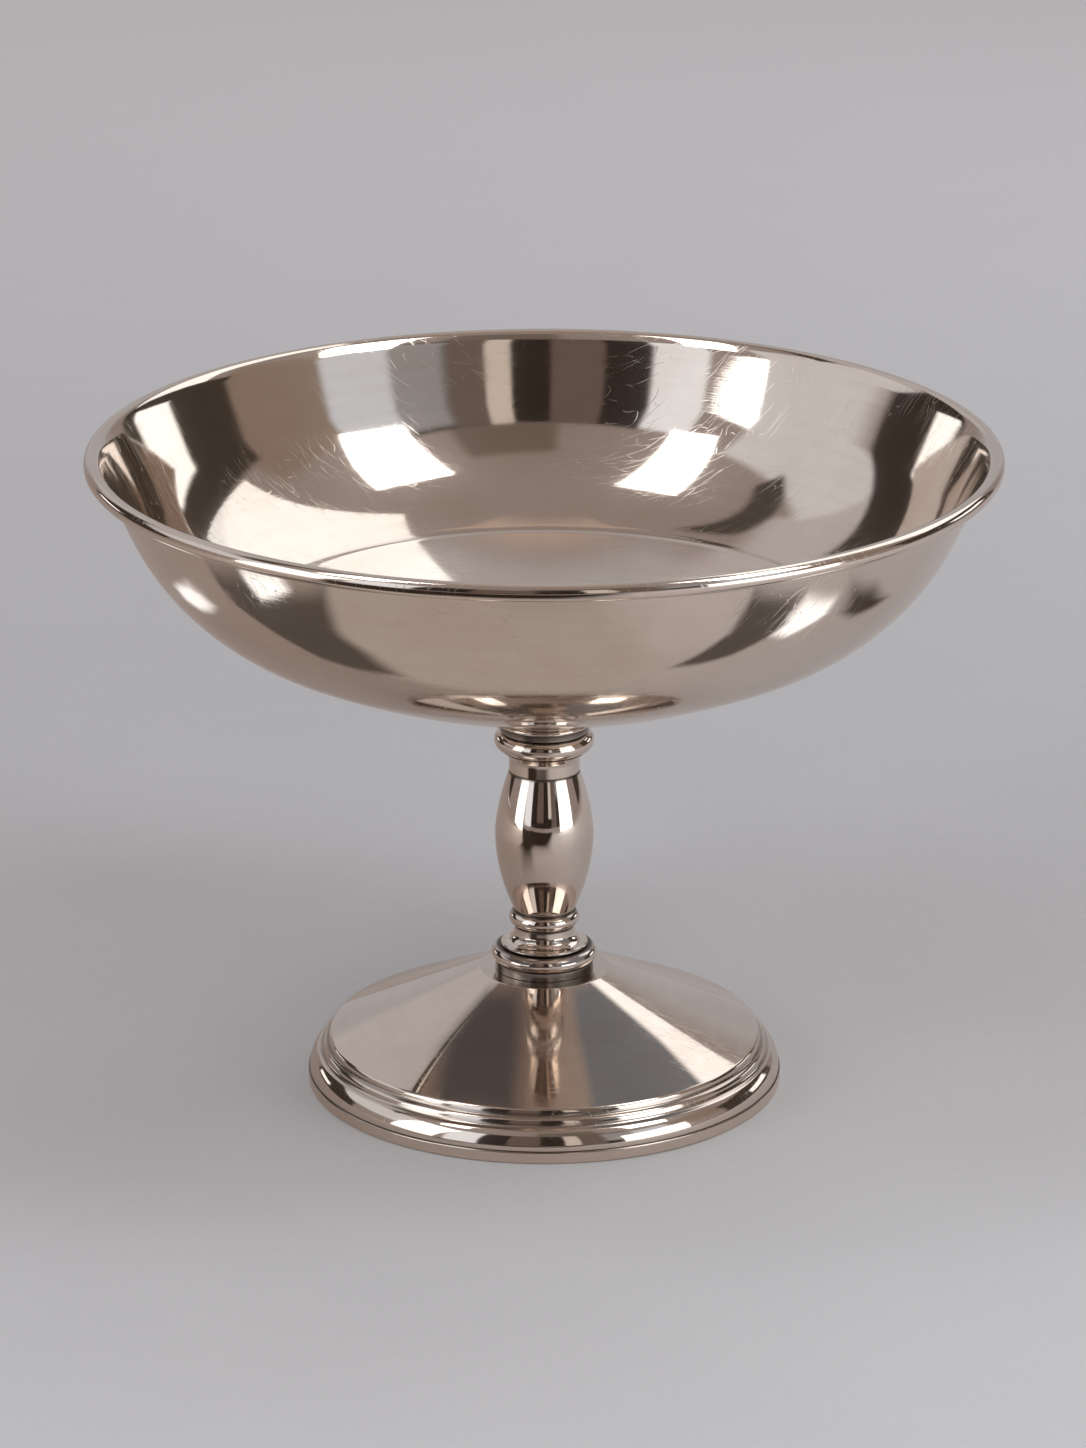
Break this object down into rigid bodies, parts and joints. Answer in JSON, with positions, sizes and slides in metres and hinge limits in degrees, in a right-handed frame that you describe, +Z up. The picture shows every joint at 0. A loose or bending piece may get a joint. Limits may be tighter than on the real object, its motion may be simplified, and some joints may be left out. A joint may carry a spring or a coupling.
{
  "type": "footed compote bowl",
  "caption": "Polished silver-plated compote: wide spun bowl with a rolled rim on a turned baluster stem and a stepped, spun foot; holds fruit or sweets.",
  "frame": {"origin": "centre of the foot on the resting plane", "axes": "+Z up along the axis of the stem; the part is a body of revolution about it, and +X and +Y are free"},
  "size_m": [0.24, 0.24, 0.1755],
  "materials": {
    "silver": "polished silver plate with fine hairlines and a light warm tarnish",
    "brass": "plain drawn and stamped brass, dull",
    "steel": "plain zinc-bright steel"
  },
  "bodies": {
    "root": {"bowl": "silver", "rim_wire": "brass", "bowl_boss": "silver", "stem_cup": "silver", "upper_ring": "silver", "neck_collar": "silver", "baluster": "silver", "lower_ring": "silver", "spool": "silver", "base_ring": "silver", "foot": "silver", "base_wire": "silver", "tie_rod": "steel", "spreader_washer": "brass", "spring_washer": "steel", "nut": "steel"}
  },
  "joints": []
}
